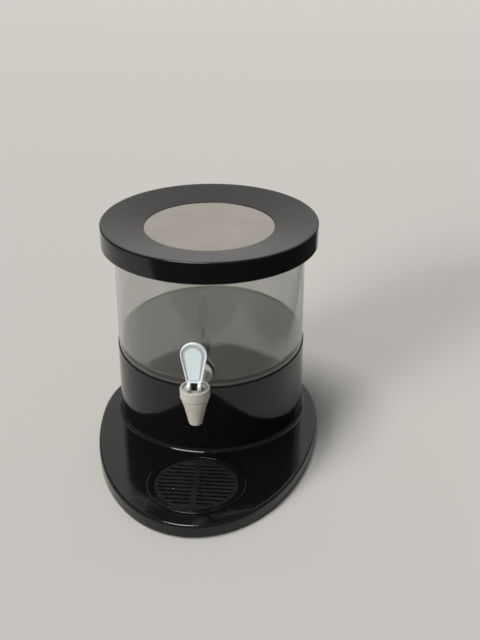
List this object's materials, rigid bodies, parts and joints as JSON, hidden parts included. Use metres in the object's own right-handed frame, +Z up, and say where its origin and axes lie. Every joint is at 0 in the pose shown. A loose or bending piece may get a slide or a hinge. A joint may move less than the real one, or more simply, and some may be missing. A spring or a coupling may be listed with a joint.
{
  "type": "water dispenser",
  "caption": "Countertop drinks dispenser: round clear tank with a black lid and a white lever tap, on a glossy black base whose egg-shaped deck holds a round drip tray.",
  "frame": {"origin": "on the table, under the middle of the base's footprint", "axes": "+Z up, -Y towards the tap and the drip tray, +X to the right seen from the front"},
  "size_m": [0.23, 0.33, 0.227],
  "materials": {
    "black_gloss": "glossy injection-moulded",
    "black_satin": "satin",
    "black_rubber": "matt",
    "clear_plastic": "clear, slightly milky",
    "milky_plastic": "translucent off-white",
    "soft_seal": "translucent silicone",
    "tap_white": "semi-gloss warm white",
    "lever_white": "glossy cool white",
    "pin_steel": "plain"
  },
  "bodies": {
    "base": {"base_shell": "black_gloss", "foot_front_left": "black_rubber", "foot_front_right": "black_rubber", "foot_rear_left": "black_rubber", "foot_rear_right": "black_rubber"},
    "drip_cup": {"drip_tray": "black_gloss"},
    "grille": {"drip_grille": "black_satin"},
    "tank_unit": {"tank": "clear_plastic", "tap_body": "tap_white", "tap_outer_washer": "black_rubber", "tap_inner_washer": "black_rubber", "tap_nut": "tap_white", "tap_seat_cup": "soft_seal", "tap_bonnet": "tap_white"},
    "lid": {"lid_ring": "black_gloss", "lid_disc": "milky_plastic", "lid_gasket": "soft_seal"},
    "stem": {"tap_stem": "black_satin"},
    "lever": {"tap_lever": "lever_white", "lever_pin": "pin_steel"}
  },
  "joints": [
    {"name": "tank_lift", "type": "slide", "parent": "base", "child": "tank_unit", "axis": [0, 0, 1], "range_m": [0, 0.06]},
    {"name": "lid_lift", "type": "slide", "parent": "tank_unit", "child": "lid", "axis": [0, 0, 1], "range_m": [0, 0.08]},
    {"name": "tray_lift", "type": "slide", "parent": "base", "child": "drip_cup", "axis": [0, 0, 1], "range_m": [0, 0.04]},
    {"name": "grille_lift", "type": "slide", "parent": "drip_cup", "child": "grille", "axis": [0, 0, 1], "range_m": [0, 0.02]},
    {"name": "stem_lift", "type": "slide", "parent": "tank_unit", "child": "stem", "axis": [0, 0, 1], "range_m": [0, 0.0032], "deforming": ["tap_seat_cup"]},
    {"name": "lever_tilt", "type": "hinge", "parent": "stem", "child": "lever", "pos_m": [0, -0.094, 0.12281], "axis": [1, 0, 0], "range_deg": [0, 85], "stiffness_Nm_per_rad": 0.05, "springref_deg": -11.46}
  ],
  "couplings": [
    {"joint": "stem_lift", "follows": "lever_tilt", "m_per_rad": 0.002157}
  ]
}
